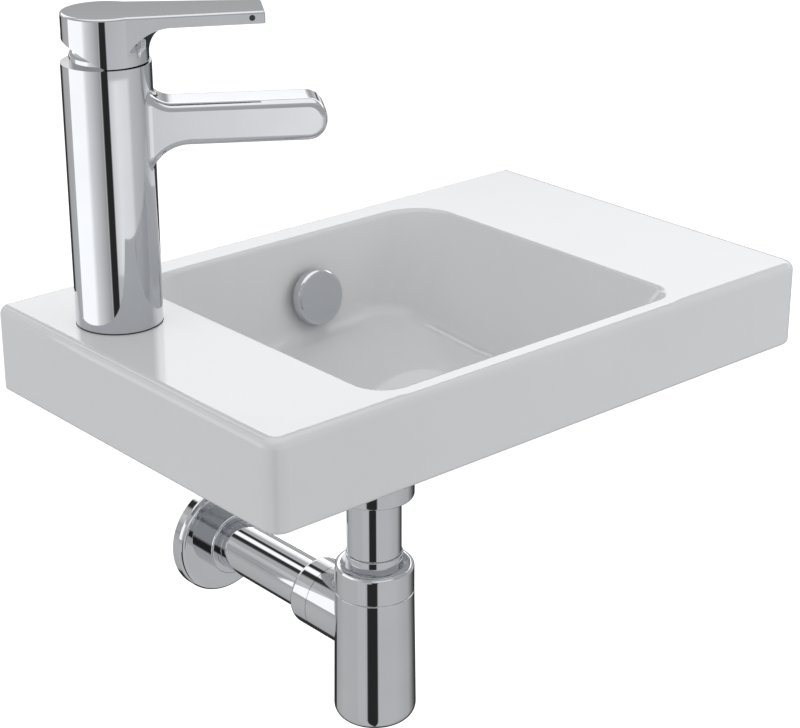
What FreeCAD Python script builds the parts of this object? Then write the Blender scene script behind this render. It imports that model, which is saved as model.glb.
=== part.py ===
import FreeCAD, Part
import math
import os

# Wall-hung hand-rinse basin with a single-lever mixer and a bottle trap.
# +Z is up, the wall is the plane y = 0 and the basin stands out towards -Y.
# The origin is midway between the two wall-fixing holes. Lengths in millimetres.

# Basin slab
apron_height = 52.0
rim_above_fixings = 25.0
apron_wall = 11.0
deck_thickness = 13.0
front_corner_radius = 10.0
top_edge_radius = 5.0
bottom_edge_radius = 3.0
pocket_corner_radius = 8.0

# Bowl
bowl_left_deck = 79.5
bowl_right_deck = 96.0
bowl_front_deck = 13.0
bowl_back_deck = 18.0
bowl_width = 224.5
bowl_length = 219.0
bowl_depth = 68.0
bowl_wall = 9.0
bowl_front_corner_radius = 16.0
bowl_back_corner_radius = 28.0
bowl_rim_radius = 3.5
bowl_floor_fillet = 13.0
bowl_dish_radius = 1300.0
bowl_left_draft_deg = 7.0
bowl_right_draft_deg = 34.0
bowl_front_draft_deg = 22.0
bowl_back_draft_deg = 10.0

# Wall fixings
fixing_spacing = 280.0
fixing_hole_radius = 7.0

# Drain hole and its boss
drain_from_bowl_left = 66.5
drain_from_bowl_front = 83.0
drain_hole_radius = 23.0
drain_recess_radius = 33.0
drain_recess_depth = 2.5
drain_boss_radius = 36.0
drain_boss_height = 16.5

# Overflow hole and the channel that leads from it to the drain
overflow_from_bowl_left = 126.0
overflow_below_rim = 37.5
overflow_hole_radius = 11.0
channel_width = 20.0
channel_rear = 18.0
channel_crown = 13.0
channel_knee_drop = 22.0
channel_toe_run = 8.0
channel_toe_rise = 5.0
channel_web = 5.5

# Overflow cover and clip
cover_radius = 17.5
cover_thickness = 6.5
cover_edge_radius = 2.5
cover_standoff = 4.5
cover_wall = 1.5
cover_stem_radius = 2.5
clip_wall = 1.6
clip_flange_radius = 13.0
clip_flange_thickness = 1.2
clip_hub_radius = 4.2
clip_hub_length = 7.0
clip_spoke_width = 2.0
clip_slot_width = 3.0
clip_slot_count = 4

# Waste
waste_flange_radius = 32.0
waste_flange_thickness = 2.5
waste_flange_rounding = 1.5
waste_seal_thickness = 1.5
waste_seal_width = 7.0
waste_tail_radius = 20.5
waste_tail_wall = 3.0
waste_slot_count = 3
waste_slot_width = 16.0
waste_slot_height = 6.0
waste_slot_below_seat = 4.0
waste_spoke_width = 3.0
waste_spoke_height = 6.0
waste_hub_radius = 7.0
waste_hub_below_seat = 22.0
waste_under_seal_thickness = 2.5
waste_under_seal_width = 8.0
waste_nut_radius = 27.0
waste_nut_height = 6.0
waste_nut_sides = 8

# Push plug
plug_travel = 7.0
plug_radius = 29.0
plug_thickness = 4.0
plug_dome = 2.0
plug_stem_radius = 4.0
plug_seal_radius = 25.5
plug_seal_width = 3.0
plug_seal_height = 1.5
plug_guide_radius = 8.0
plug_guide_height = 18.0
plug_guide_floor = 2.0
plug_guide_pin_radius = 3.0

# Waste pipe of 32 mm and the trap's inlet nut
pipe_radius = 16.0
pipe_wall = 1.2
pipe_lip = 3.6
pipe_lip_thickness = 1.5
tail_seal_thickness = 2.0
tail_nut_radius = 23.5
tail_nut_height = 12.0
tail_nut_lip = 2.5
tail_nut_gap = 0.5
tail_nut_rounding = 1.5

# Bottle trap
tail_visible_length = 36.5
neck_radius = 17.0
neck_height = 6.0
neck_rounding = 0.6
inlet_seal_radius = 18.5
inlet_seal_height = 3.0
cap_radius = 23.5
cap_height = 19.0
cap_wall = 2.0
cap_roof = 6.0
cap_rounding = 4.0
cap_seal_thickness = 2.0
seam_rounding = 0.6
bottle_height = 84.0
bottle_bottom_radius = 24.6
bottle_wall = 2.0
bottle_bottom_rounding = 8.0
bottle_thread_wall = 1.8
dip_above_bottom = 28.0

# Trap outlet, pipe to the wall and its rosette
outlet_below_seam = 23.0
outlet_socket_radius = 21.4
outlet_socket_reach = 39.0
outlet_thread_radius = 19.2
outlet_thread_length = 10.0
outlet_stop_reach = 30.0
outlet_nut_length = 16.0
outlet_nut_rounding = 3.0
outlet_seal_thickness = 3.0
outlet_past_wall = 16.0
rosette_radius = 36.0
rosette_thickness = 9.0
rosette_edge_radius = 3.5
rosette_wall = 1.6
rosette_sleeve_radius = 20.0
rosette_sleeve_length = 20.0
rosette_sleeve_rounding = 1.2

# Tap body and spout
tap_from_left = 39.2
tap_from_back = 62.4
tap_turn_deg = -33.0
tap_hole_radius = 17.5
tap_radius = 24.2
tap_height = 147.0
tap_gasket_thickness = 0.8
tap_gasket_wall = 4.0
spout_reach = 116.5
spout_width = 26.0
spout_height = 23.0
spout_below_top = 22.0
spout_nose_radius = 10.5
spout_edge_radius = 4.0
spout_root_radius = 5.0
spout_root_inset = 4.2
spout_under_arc = 22.0
spout_over_arc = 14.0
spout_bore_radius = 5.0
spout_bore_start = 13.0

# Aerator in the spout's end
aerator_reach = 91.0
aerator_radius = 9.5
aerator_height = 9.0
aerator_wall = 1.4
aerator_lip = 1.0
aerator_seal_thickness = 1.2
aerator_grid_pitch = 2.6
aerator_grid_hole = 1.8
aerator_insert_height = 5.0

# Tap fixing under the deck
hose_thread_radius = 4.5
hose_thread_depth = 14.0
tap_core_height = 45.0
hose_spread = 6.5
stud_radius = 4.0
stud_back = 9.0
stud_in_body = 14.0
stud_below_deck = 42.0
horseshoe_radius = 23.0
horseshoe_slot_width = 25.0
horseshoe_slot_end = 2.0
horseshoe_gasket_thickness = 3.0
horseshoe_plate_thickness = 2.5
stud_nut_radius = 7.5
stud_nut_height = 8.0
hex_sides = 6

# Cartridge, measured down from the tap body's top
cartridge_seat_below_top = 22.0
cartridge_radius = 17.6
cartridge_base_height = 4.0
cartridge_wall = 1.4
cartridge_shoulder_below_top = 5.0
cartridge_neck_radius = 15.4
cartridge_height_above_top = 2.0
cartridge_lip_thickness = 2.0
port_radius = 1.9
inlet_forward = 5.5
inlet_spread = 5.0
port_seal_width = 1.2
port_seal_height = 1.0
fixed_disc_radius = 15.6
fixed_disc_height = 3.0
moving_disc_radius = 10.2
moving_disc_height = 3.0
moving_disc_pocket = 1.5
moving_pocket_back = 6.4
moving_pocket_front = 2.4
carrier_radius = 10.4
carrier_plate_height = 3.0
carrier_hub_radius = 6.5
carrier_height = 6.6
carrier_floor = 2.2
clamp_nut_radius = 18.7
clamp_nut_height = 4.8
clamp_nut_notch = 4.0
clamp_nut_notches = 6
turret_neck_radius = 12.3
turret_flange_radius = 13.6
turret_flange_height = 3.6
turret_slot_width = 8.4
turret_slot_length = 19.0
turret_ear_thickness = 4.0
turret_ear_length = 10.0
turret_ear_above_pivot = 4.0
turret_neck_above_top = 7.0
pivot_above_top = 6.5
pivot_pin_radius = 1.5
pivot_pin_length = 17.0
stem_arm = 12.5
stem_ball_radius = 3.2
stem_rod_radius = 2.6
stem_hub_radius = 3.8
stem_square = 8.0
stem_height = 12.5
stem_square_above_pivot = 4.5

# Dome ring and lever
dome_base_radius = 19.6
dome_top_radius = 14.2
dome_height = 8.6
dome_base_height = 2.0
dome_wall = 1.2
lever_cap_radius = 23.0
lever_cap_wall = 2.1
lever_cap_gap = 0.6
lever_top_above_body = 27.0
lever_thickness = 6.5
lever_reach = 84.0
lever_root_width = 42.0
lever_tip_width = 29.0
lever_tip_rounding = 1.5
lever_edge_radius = 1.2
lever_root_radius = 16.0
lever_cut_deg = 29.0
lever_cut_behind_axis = 1.0
lever_roof = 6.0
lever_boss_radius = 8.0
lever_boss_length = 7.0
lever_screw_radius = 2.0
lever_screw_length = 4.0
lever_screw_above_boss_end = 3.4
indicator_radius = 1.6
indicator_depth = 1.2
indicator_from_tip = 7.0

# Clearances
running_clearance = 0.05
thread_clearance = 0.1
seat_gap = 0.3
ball_clearance = 0.15
cut_overrun = 2.0

UP = FreeCAD.Vector(0, 0, 1)
ORIGIN = FreeCAD.Vector(0, 0, 0)
SHARP_JOIN = 2

# Levels and places that several pieces share
basin_width = bowl_left_deck + bowl_width + bowl_right_deck
basin_depth = bowl_back_deck + bowl_length + bowl_front_deck
rim_z = rim_above_fixings
slab_bottom_z = rim_z - apron_height
deck_under_z = rim_z - deck_thickness
bowl_left_x = -basin_width / 2 + bowl_left_deck
bowl_right_x = bowl_left_x + bowl_width
bowl_back_y = -bowl_back_deck
bowl_front_y = bowl_back_y - bowl_length
floor_z = rim_z - bowl_depth
drain_x = bowl_left_x + drain_from_bowl_left
drain_y = bowl_front_y + drain_from_bowl_front
seat_z = floor_z - drain_recess_depth
boss_bottom_z = seat_z - drain_boss_height
overflow_x = bowl_left_x + overflow_from_bowl_left
overflow_z = rim_z - overflow_below_rim
overflow_y = bowl_back_y - overflow_below_rim * math.tan(math.radians(bowl_back_draft_deg))
flange_under_z = seat_z + waste_seal_thickness
flange_top_z = flange_under_z + waste_flange_thickness
waste_nut_z = boss_bottom_z - waste_under_seal_thickness - waste_nut_height
tail_nut_top_z = waste_nut_z - tail_nut_gap
tail_nut_bottom_z = tail_nut_top_z - tail_nut_height
pipe_lip_z = tail_nut_bottom_z + tail_nut_lip
waste_end_z = pipe_lip_z + pipe_lip_thickness + tail_seal_thickness
cap_top_z = tail_nut_bottom_z - tail_visible_length - neck_height
seam_z = cap_top_z - cap_height
bottle_bottom_z = seam_z - bottle_height
bottle_rim_z = cap_top_z - cap_roof - cap_seal_thickness
outlet_z = seam_z - outlet_below_seam
hub_top_z = seat_z - waste_hub_below_seat
tap_x = -basin_width / 2 + tap_from_left
tap_y = -tap_from_back
spout_underside = tap_height - spout_below_top - spout_height
seat_level = tap_height - cartridge_seat_below_top
base_top = seat_level + cartridge_base_height
fixed_disc_top = base_top + fixed_disc_height
moving_disc_bottom = fixed_disc_top + running_clearance
moving_disc_top = moving_disc_bottom + moving_disc_height
carrier_top = moving_disc_top + carrier_height
housing_top = tap_height + cartridge_height_above_top
pivot_level = tap_height + pivot_above_top
lever_top = tap_height + lever_top_above_body
lever_under = lever_top - lever_thickness
lever_ceiling = lever_top - lever_roof


def rounded_wire(corners):
    """Closed wire in the XY plane through (x, y, rounding) corners."""
    count = len(corners)
    points = [FreeCAD.Vector(x, y, 0) for x, y, rounding in corners]
    spans = []
    for index, (x, y, rounding) in enumerate(corners):
        here = points[index]
        if rounding == 0:
            spans.append((here, here, here))
            continue
        to_last = (points[index - 1] - here).normalize()
        to_next = (points[(index + 1) % count] - here).normalize()
        half = to_last.getAngle(to_next) / 2
        trim = rounding / math.tan(half)
        middle = (to_last + to_next).normalize() * (rounding / math.sin(half) - rounding)
        spans.append((here + to_last * trim, here + middle, here + to_next * trim))
    edges = []
    for index in range(count):
        start, middle, end = spans[index]
        if start != end:
            edges.append(Part.Arc(start, middle, end).toShape())
        edges.append(Part.LineSegment(end, spans[(index + 1) % count][0]).toShape())
    return Part.Wire(edges)


def plain(*points):
    """Corners with no rounding."""
    return [(x, y, 0) for x, y in points]


def turned(corners):
    """Solid of revolution about Z from (radius, height, rounding) corners."""
    face = Part.Face(rounded_wire(corners))
    face.rotate(ORIGIN, FreeCAD.Vector(1, 0, 0), 90)
    return face.revolve(ORIGIN, UP, 360)


def prism(corners, low, high):
    """Upright prism from (x, y, rounding) corners between two heights."""
    face = Part.Face(rounded_wire(corners))
    face.translate(FreeCAD.Vector(0, 0, low))
    return face.extrude(FreeCAD.Vector(0, 0, high - low))


def side_prism(corners, width):
    """Prism from an (x, z, rounding) side view, centred on y = 0."""
    face = Part.Face(rounded_wire(corners))
    face.rotate(ORIGIN, FreeCAD.Vector(1, 0, 0), 90)
    face.translate(FreeCAD.Vector(0, width / 2, 0))
    return face.extrude(FreeCAD.Vector(0, -width, 0))


def rectangle(left, right, front, back, rounding):
    return [(left, front, rounding), (right, front, rounding),
            (right, back, rounding), (left, back, rounding)]


def rod(radius, low, high, x=0, y=0):
    return Part.makeCylinder(radius, high - low, FreeCAD.Vector(x, y, low), UP)


def ring(outer, inner, low, high):
    return turned(plain((inner, low), (outer, low), (outer, high), (inner, high)))


def polygon_rod(radius, sides, low, high, x=0, y=0):
    """Regular prism that fits inside a circle of the given radius."""
    turns = [2 * math.pi * step / sides for step in range(sides)]
    corners = plain(*[(x + radius * math.cos(turn), y + radius * math.sin(turn)) for turn in turns])
    return prism(corners, low, high)


def around(shape, count):
    """Copies of a shape turned evenly about Z."""
    copies = []
    for step in range(count):
        copy = shape.copy()
        copy.rotate(ORIGIN, UP, 360 * step / count)
        copies.append(copy)
    return copies


def at_drain(shape):
    return shape.translated(FreeCAD.Vector(drain_x, drain_y, 0))


def on_tap(shape):
    """From the tap's own frame (spout along +X, deck at z = 0) to the basin's frame."""
    placed = shape.copy()
    placed.rotate(ORIGIN, UP, tap_turn_deg)
    placed.translate(FreeCAD.Vector(tap_x, tap_y, rim_z))
    return placed


def along_outlet(shape):
    """From an axis along Z to the outlet's axis, which runs from the bottle to the wall."""
    placed = shape.copy()
    placed.rotate(ORIGIN, FreeCAD.Vector(1, 0, 0), -90)
    placed.translate(FreeCAD.Vector(drain_x, drain_y, outlet_z))
    return placed


def on_overflow(shape):
    """From an axis along Z to the overflow's axis, square to the bowl's back wall."""
    placed = shape.copy()
    placed.rotate(ORIGIN, FreeCAD.Vector(1, 0, 0), 90 - bowl_back_draft_deg)
    placed.translate(FreeCAD.Vector(overflow_x, overflow_y, overflow_z))
    return placed


def edges_where(shape, test):
    """Edges whose middle point passes a test."""
    return [edge for edge in shape.Edges if test(edge.CenterOfMass)]


def bowl_form(offset):
    """The bowl's inside grown by an offset: drafted walls closed by a dished floor."""
    depth = bowl_depth + bowl_wall + bowl_floor_fillet
    drafts_deg = (bowl_left_draft_deg, bowl_right_draft_deg, bowl_front_draft_deg, bowl_back_draft_deg)
    rings = []
    for drop in (0, depth):
        slope = [drop * math.tan(math.radians(draft)) - offset / math.cos(math.radians(draft))
                 for draft in drafts_deg]
        left, right = bowl_left_x + slope[0], bowl_right_x - slope[1]
        front, back = bowl_front_y + slope[2], bowl_back_y - slope[3]
        front_rounding = bowl_front_corner_radius + offset
        back_rounding = bowl_back_corner_radius + offset
        wire = rounded_wire([(left, front, front_rounding), (right, front, front_rounding),
                             (right, back, back_rounding), (left, back, back_rounding)])
        wire.translate(FreeCAD.Vector(0, 0, rim_z - drop))
        rings.append(wire)
    walls = Part.makeLoft(rings, True, True)
    dish_centre = FreeCAD.Vector(drain_x, drain_y, floor_z + bowl_dish_radius)
    dish = Part.makeSphere(bowl_dish_radius + offset, dish_centre, FreeCAD.Vector(1, 0, 0))
    bowl = walls.common(dish)
    floor_face = min(bowl.Faces, key=lambda face: face.CenterOfMass.z)
    return bowl.makeFillet(bowl_floor_fillet + offset, floor_face.Edges)


def overflow_duct():
    """The channel's hollow and its china wall, in the upright plane from overflow to drain."""
    run = FreeCAD.Vector(drain_x - overflow_x, drain_y - overflow_y, 0)
    reach = run.Length
    crown_z = overflow_z + channel_crown
    knee_z = overflow_z - channel_knee_drop
    end_z = boss_bottom_z + channel_web
    corners = plain((-channel_rear, crown_z), (-channel_rear, knee_z),
                    (channel_toe_run, end_z + channel_toe_rise), (reach, end_z), (reach, floor_z),
                    (0, crown_z))
    wall_wire = rounded_wire(corners).makeOffset2D(channel_web, SHARP_JOIN)
    solids = []
    for wire, width in ((rounded_wire(corners), channel_width), (wall_wire, channel_width + 2 * channel_web)):
        face = Part.Face(wire)
        face.rotate(ORIGIN, FreeCAD.Vector(1, 0, 0), 90)
        face.translate(FreeCAD.Vector(0, width / 2, 0))
        solid = face.extrude(FreeCAD.Vector(0, -width, 0))
        solid.rotate(ORIGIN, UP, math.degrees(math.atan2(run.y, run.x)))
        solid.translate(FreeCAD.Vector(overflow_x, overflow_y, 0))
        solids.append(solid)
    return solids


def basin_body():
    half = basin_width / 2
    footprint = [(-half, -basin_depth, front_corner_radius), (half, -basin_depth, front_corner_radius),
                 (half, 0, 0), (-half, 0, 0)]
    slab = prism(footprint, slab_bottom_z, rim_z)
    for level, radius in ((rim_z, top_edge_radius), (slab_bottom_z, bottom_edge_radius)):
        edges = edges_where(slab, lambda middle: abs(middle.z - level) < seat_gap and middle.y < -apron_wall)
        slab = slab.makeFillet(radius, edges)
    pocket = prism(rectangle(-half + apron_wall, half - apron_wall, -basin_depth + apron_wall, -apron_wall,
                             pocket_corner_radius), slab_bottom_z - cut_overrun, deck_under_z)
    outside = bowl_form(bowl_wall)
    inside = bowl_form(0)
    hollow, duct = overflow_duct()
    duct = duct.common(prism(rectangle(-half, half, -basin_depth, 0, 0), boss_bottom_z, rim_z))
    boss = at_drain(rod(drain_boss_radius, boss_bottom_z, floor_z))
    body = slab.cut(pocket).fuse([outside, duct, boss]).cut(inside).removeSplitter()
    rim = edges_where(body, lambda middle: middle.z > rim_z - seat_gap
                      and bowl_left_x - seat_gap < middle.x < bowl_right_x + seat_gap
                      and bowl_front_y - seat_gap < middle.y < bowl_back_y + seat_gap)
    body = body.makeFillet(bowl_rim_radius, rim)
    holes = [hollow.cut(outside)]
    holes.append(on_overflow(rod(overflow_hole_radius, -bowl_wall - channel_web, bowl_wall)))
    holes.append(at_drain(rod(drain_recess_radius, seat_z, floor_z + drain_recess_depth)))
    holes.append(at_drain(rod(drain_hole_radius, boss_bottom_z - cut_overrun, floor_z)))
    holes.append(rod(tap_hole_radius, deck_under_z - cut_overrun, rim_z + cut_overrun, tap_x, tap_y))
    for side in (-1, 1):
        start = FreeCAD.Vector(side * fixing_spacing / 2, cut_overrun, 0)
        length = apron_wall + 2 * cut_overrun
        holes.append(Part.makeCylinder(fixing_hole_radius, length, start, FreeCAD.Vector(0, -1, 0)))
    return body.cut(holes)


def overflow_cover():
    back = cover_standoff
    front = back + cover_thickness
    inner = cover_radius - cover_wall
    cap = turned([(0, front, 0), (0, front - cover_wall, 0), (inner, front - cover_wall, 0), (inner, back, 0),
                  (cover_radius, back, 0), (cover_radius, front, cover_edge_radius)])
    stem = rod(cover_stem_radius, clip_flange_thickness - clip_hub_length / 2, front - cover_wall)
    return on_overflow(cap.fuse(stem).removeSplitter())


def overflow_clip():
    outer = overflow_hole_radius - running_clearance
    top = clip_flange_thickness
    sleeve = ring(outer, outer - clip_wall, -bowl_wall, top)
    flange = ring(clip_flange_radius, outer - clip_wall, 0, top)
    slot = Part.makeBox(2 * outer, clip_slot_width, bowl_wall,
                        FreeCAD.Vector(-outer, -clip_slot_width / 2, -bowl_wall - clip_flange_thickness))
    slots = around(slot, clip_slot_count // 2)
    hub = ring(clip_hub_radius, cover_stem_radius + running_clearance, top - clip_hub_length, top)
    spoke = Part.makeBox(outer - clip_wall / 2 - cover_stem_radius - clip_wall, clip_spoke_width, top,
                         FreeCAD.Vector(cover_stem_radius + clip_wall / 2, -clip_spoke_width / 2, 0))
    clip = sleeve.fuse(flange).cut(slots).fuse([hub] + around(spoke, clip_slot_count))
    return on_overflow(clip.removeSplitter())


def waste_body():
    bore = waste_tail_radius - waste_tail_wall
    shell = turned([(bore, waste_end_z, 0), (waste_tail_radius, waste_end_z, 0),
                    (waste_tail_radius, flange_under_z, 0), (waste_flange_radius, flange_under_z, 0),
                    (waste_flange_radius, flange_top_z, waste_flange_rounding),
                    (waste_tail_radius, flange_top_z, 0), (bore, flange_under_z, 0)])
    slot = Part.makeBox(waste_tail_radius, waste_slot_width, waste_slot_height,
                        FreeCAD.Vector(bore / 2, -waste_slot_width / 2,
                                       seat_z - waste_slot_below_seat - waste_slot_height))
    hub_low = hub_top_z - waste_spoke_height
    spoke = Part.makeBox(bore + waste_tail_wall / 2, waste_spoke_width, waste_spoke_height,
                         FreeCAD.Vector(0, -waste_spoke_width / 2, hub_low))
    hub = rod(waste_hub_radius, hub_low, hub_top_z)
    body = shell.cut(around(slot, waste_slot_count)).fuse(around(spoke, waste_slot_count) + [hub])
    pin_hole = rod(plug_guide_pin_radius + thread_clearance, hub_low - cut_overrun, hub_top_z + cut_overrun)
    return at_drain(body.cut(pin_hole).removeSplitter())


def waste_flange_seal():
    return at_drain(ring(drain_hole_radius + waste_seal_width, drain_hole_radius, seat_z, flange_under_z))


def waste_under_seal():
    inner = waste_tail_radius + thread_clearance
    return at_drain(ring(inner + waste_under_seal_width, inner, boss_bottom_z - waste_under_seal_thickness,
                         boss_bottom_z))


def waste_back_nut():
    low = waste_nut_z
    high = low + waste_nut_height
    nut = polygon_rod(waste_nut_radius, waste_nut_sides, low, high)
    return at_drain(nut.cut(rod(waste_tail_radius + thread_clearance, low - cut_overrun, high + cut_overrun)))


def plug_guide():
    top = hub_top_z + plug_guide_height
    hub_low = hub_top_z - waste_spoke_height
    bore = plug_stem_radius + running_clearance
    floor = hub_top_z + plug_guide_floor
    return at_drain(turned(plain((0, hub_low), (plug_guide_pin_radius, hub_low),
                                 (plug_guide_pin_radius, hub_top_z), (plug_guide_radius, hub_top_z),
                                 (plug_guide_radius, top), (bore, top), (bore, floor), (0, floor))))


def plug_under_z():
    return flange_top_z + plug_seal_height + seat_gap + plug_travel


def plug_cap():
    under = plug_under_z()
    foot = hub_top_z + plug_guide_floor + seat_gap + plug_travel
    top = under + plug_thickness
    return at_drain(turned([(0, foot, 0), (plug_stem_radius, foot, 0), (plug_stem_radius, under, 0),
                            (plug_radius, under, 0), (plug_radius, top - plug_dome, plug_dome / 2),
                            (plug_radius / 2, top, plug_radius / 2), (0, top, 0)]))


def plug_seal():
    under = plug_under_z()
    inner = plug_seal_radius - plug_seal_width
    return at_drain(ring(plug_seal_radius, inner, under - plug_seal_height, under))


def tail_union_nut():
    low = tail_nut_bottom_z
    thread = waste_tail_radius + thread_clearance
    pass_through = pipe_radius + thread_clearance
    return at_drain(turned([(pass_through, low, 0), (tail_nut_radius, low, tail_nut_rounding),
                            (tail_nut_radius, tail_nut_top_z, tail_nut_rounding), (thread, tail_nut_top_z, 0),
                            (thread, pipe_lip_z, 0), (pass_through, pipe_lip_z, 0)]))


def tail_seal():
    low = pipe_lip_z + pipe_lip_thickness
    return at_drain(ring(waste_tail_radius, pipe_radius - pipe_wall, low, low + tail_seal_thickness))


def tail_pipe():
    bore = pipe_radius - pipe_wall
    lip_top = pipe_lip_z + pipe_lip_thickness
    foot = bottle_bottom_z + dip_above_bottom
    return at_drain(turned(plain((bore, foot), (pipe_radius, foot), (pipe_radius, pipe_lip_z),
                                 (pipe_radius + pipe_lip, pipe_lip_z), (pipe_radius + pipe_lip, lip_top),
                                 (bore, lip_top))))


def inlet_groove():
    """Low and high ends of the groove in the cap's roof that holds the inlet seal."""
    low = cap_top_z - (cap_roof + inlet_seal_height) / 2
    return low, low + inlet_seal_height


def trap_cap():
    hole = pipe_radius + thread_clearance
    thread = cap_radius - cap_wall
    neck_top = cap_top_z + neck_height
    roof = cap_top_z - cap_roof
    low, high = inlet_groove()
    return at_drain(turned([(hole, roof, 0), (thread, roof, 0), (thread, seam_z, 0),
                            (cap_radius, seam_z, seam_rounding), (cap_radius, cap_top_z, cap_rounding),
                            (neck_radius, cap_top_z, 0), (neck_radius, neck_top, neck_rounding),
                            (hole, neck_top, 0), (hole, high, 0), (inlet_seal_radius, high, 0),
                            (inlet_seal_radius, low, 0), (hole, low, 0)]))


def inlet_seal():
    low, high = inlet_groove()
    return at_drain(ring(inlet_seal_radius, pipe_radius, low, high))


def bottle_neck_radii():
    outer = cap_radius - cap_wall - thread_clearance
    return outer, outer - bottle_thread_wall


def trap_cap_seal():
    outer, inner = bottle_neck_radii()
    return at_drain(ring(outer, inner, bottle_rim_z, cap_top_z - cap_roof))


def trap_bottle():
    neck_outer, neck_inner = bottle_neck_radii()
    low = bottle_bottom_z
    inner_low = low + bottle_wall
    inner_bottom = bottle_bottom_radius - bottle_wall
    outside = turned([(0, low, 0), (bottle_bottom_radius, low, bottle_bottom_rounding),
                      (cap_radius, seam_z, seam_rounding), (neck_outer, seam_z, 0),
                      (neck_outer, bottle_rim_z, 0), (0, bottle_rim_z, 0)])
    inside = turned([(0, inner_low, 0), (inner_bottom, inner_low, bottle_bottom_rounding - bottle_wall),
                     (neck_inner, seam_z, 0), (neck_inner, bottle_rim_z + cut_overrun, 0),
                     (0, bottle_rim_z + cut_overrun, 0)])
    thread_end = outlet_socket_reach + outlet_thread_length
    socket = turned(plain((0, 0), (outlet_socket_radius, 0), (outlet_socket_radius, outlet_socket_reach),
                          (outlet_thread_radius, outlet_socket_reach), (outlet_thread_radius, thread_end),
                          (0, thread_end)))
    slide = pipe_radius + thread_clearance
    bore = turned(plain((0, 0), (pipe_radius - pipe_wall, 0), (pipe_radius - pipe_wall, outlet_stop_reach),
                        (slide, outlet_stop_reach), (slide, thread_end + cut_overrun),
                        (0, thread_end + cut_overrun)))
    outer = at_drain(outside).fuse(along_outlet(socket))
    return outer.cut([at_drain(inside), along_outlet(bore)]).removeSplitter()


def outlet_nut_end():
    return outlet_socket_reach + outlet_nut_length


def outlet_lip():
    """Distance from the bottle's axis to the lip inside the outlet nut."""
    return outlet_socket_reach + outlet_thread_length + outlet_seal_thickness


def outlet_union_nut():
    start = outlet_socket_reach + seat_gap
    end = outlet_nut_end()
    lip = outlet_lip()
    thread = outlet_thread_radius + thread_clearance
    hole = pipe_radius + thread_clearance
    return along_outlet(turned([(thread, start, 0), (outlet_socket_radius, start, 0),
                                (outlet_socket_radius, end, outlet_nut_rounding), (hole, end, 0),
                                (hole, lip, 0), (thread, lip, 0)]))


def outlet_seal():
    lip = outlet_lip()
    return along_outlet(ring(outlet_thread_radius, pipe_radius, lip - outlet_seal_thickness, lip))


def outlet_pipe():
    end = -drain_y + outlet_past_wall
    return along_outlet(ring(pipe_radius, pipe_radius - pipe_wall, outlet_stop_reach, end))


def wall_rosette():
    hole = pipe_radius + thread_clearance
    front = rosette_thickness
    inner = rosette_radius - rosette_wall
    inner_front = front - rosette_wall
    plate = turned([(hole, inner_front, 0), (inner, inner_front, rosette_edge_radius - rosette_wall),
                    (inner, 0, 0), (rosette_radius, 0, 0), (rosette_radius, front, rosette_edge_radius),
                    (rosette_sleeve_radius, front, 0),
                    (rosette_sleeve_radius, rosette_sleeve_length, rosette_sleeve_rounding),
                    (hole, rosette_sleeve_length, 0)])
    plate.rotate(ORIGIN, FreeCAD.Vector(1, 0, 0), 90)
    return plate.translated(FreeCAD.Vector(drain_x, 0, outlet_z))


def spout_bar():
    """The spout's side view, which leaves the barrel in an arc below and one above."""
    low = spout_underside
    high = low + spout_height
    root = tap_radius - spout_root_inset
    foot = low - spout_under_arc - cut_overrun
    crest = high + spout_over_arc + cut_overrun
    bar = side_prism([(0, crest, 0), (0, foot, 0), (root, foot, 0), (root, low, spout_under_arc),
                      (spout_reach, low, spout_nose_radius), (spout_reach, high, spout_nose_radius),
                      (root, high, spout_over_arc), (root, crest, 0)], spout_width)
    long_edges = edges_where(bar, lambda middle: abs(middle.y) > spout_width / 2 - seat_gap
                             and middle.x > root)
    return bar.makeFillet(spout_edge_radius, long_edges)


def tap_body():
    barrel = rod(tap_radius, tap_gasket_thickness, tap_height)
    body = barrel.fuse(spout_bar())
    root_low = spout_underside - spout_under_arc
    root = edges_where(body, lambda middle: root_low < middle.z < tap_height - spout_root_radius
                       and tap_radius / 2 < middle.x < tap_radius + seat_gap)
    body = body.makeFillet(spout_root_radius, root)
    spout_level = spout_underside + spout_height / 2
    cuts = [rod(cartridge_radius + running_clearance, seat_level, tap_height + cut_overrun)]
    nut_low = tap_height - cartridge_shoulder_below_top
    cuts.append(rod(clamp_nut_radius + thread_clearance, nut_low, tap_height + cut_overrun))
    for radius, start in ((port_radius, 0), (spout_bore_radius, spout_bore_start)):
        cuts.append(Part.makeCylinder(radius, aerator_reach - start, FreeCAD.Vector(start, 0, spout_level),
                                      FreeCAD.Vector(1, 0, 0)))
    aerator_low = spout_underside - cut_overrun
    aerator_top = spout_underside + aerator_height + aerator_seal_thickness
    cuts.append(rod(aerator_radius + thread_clearance, aerator_low, aerator_top, aerator_reach, 0))
    for x, y in port_places():
        port_low = spout_level if x == 0 else tap_core_height + hose_thread_depth - cut_overrun
        cuts.append(rod(port_radius, port_low, seat_level + cut_overrun, x, y))
    cuts.append(rod(tap_radius - tap_gasket_wall, 0, tap_core_height))
    hose_end = tap_core_height + hose_thread_depth
    for side in (-1, 1):
        cuts.append(rod(hose_thread_radius, tap_core_height, hose_end, inlet_forward, side * hose_spread))
    stud_end = tap_core_height + stud_in_body
    cuts.append(rod(stud_radius + thread_clearance, tap_core_height, stud_end, -stud_back, 0))
    return on_tap(body.cut(cuts))


def tap_base_gasket():
    return on_tap(ring(tap_radius, tap_radius - tap_gasket_wall, 0, tap_gasket_thickness))


def mounting_stud():
    end = tap_core_height + stud_in_body
    return on_tap(rod(stud_radius, -deck_thickness - stud_below_deck, end, -stud_back, 0))


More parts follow.
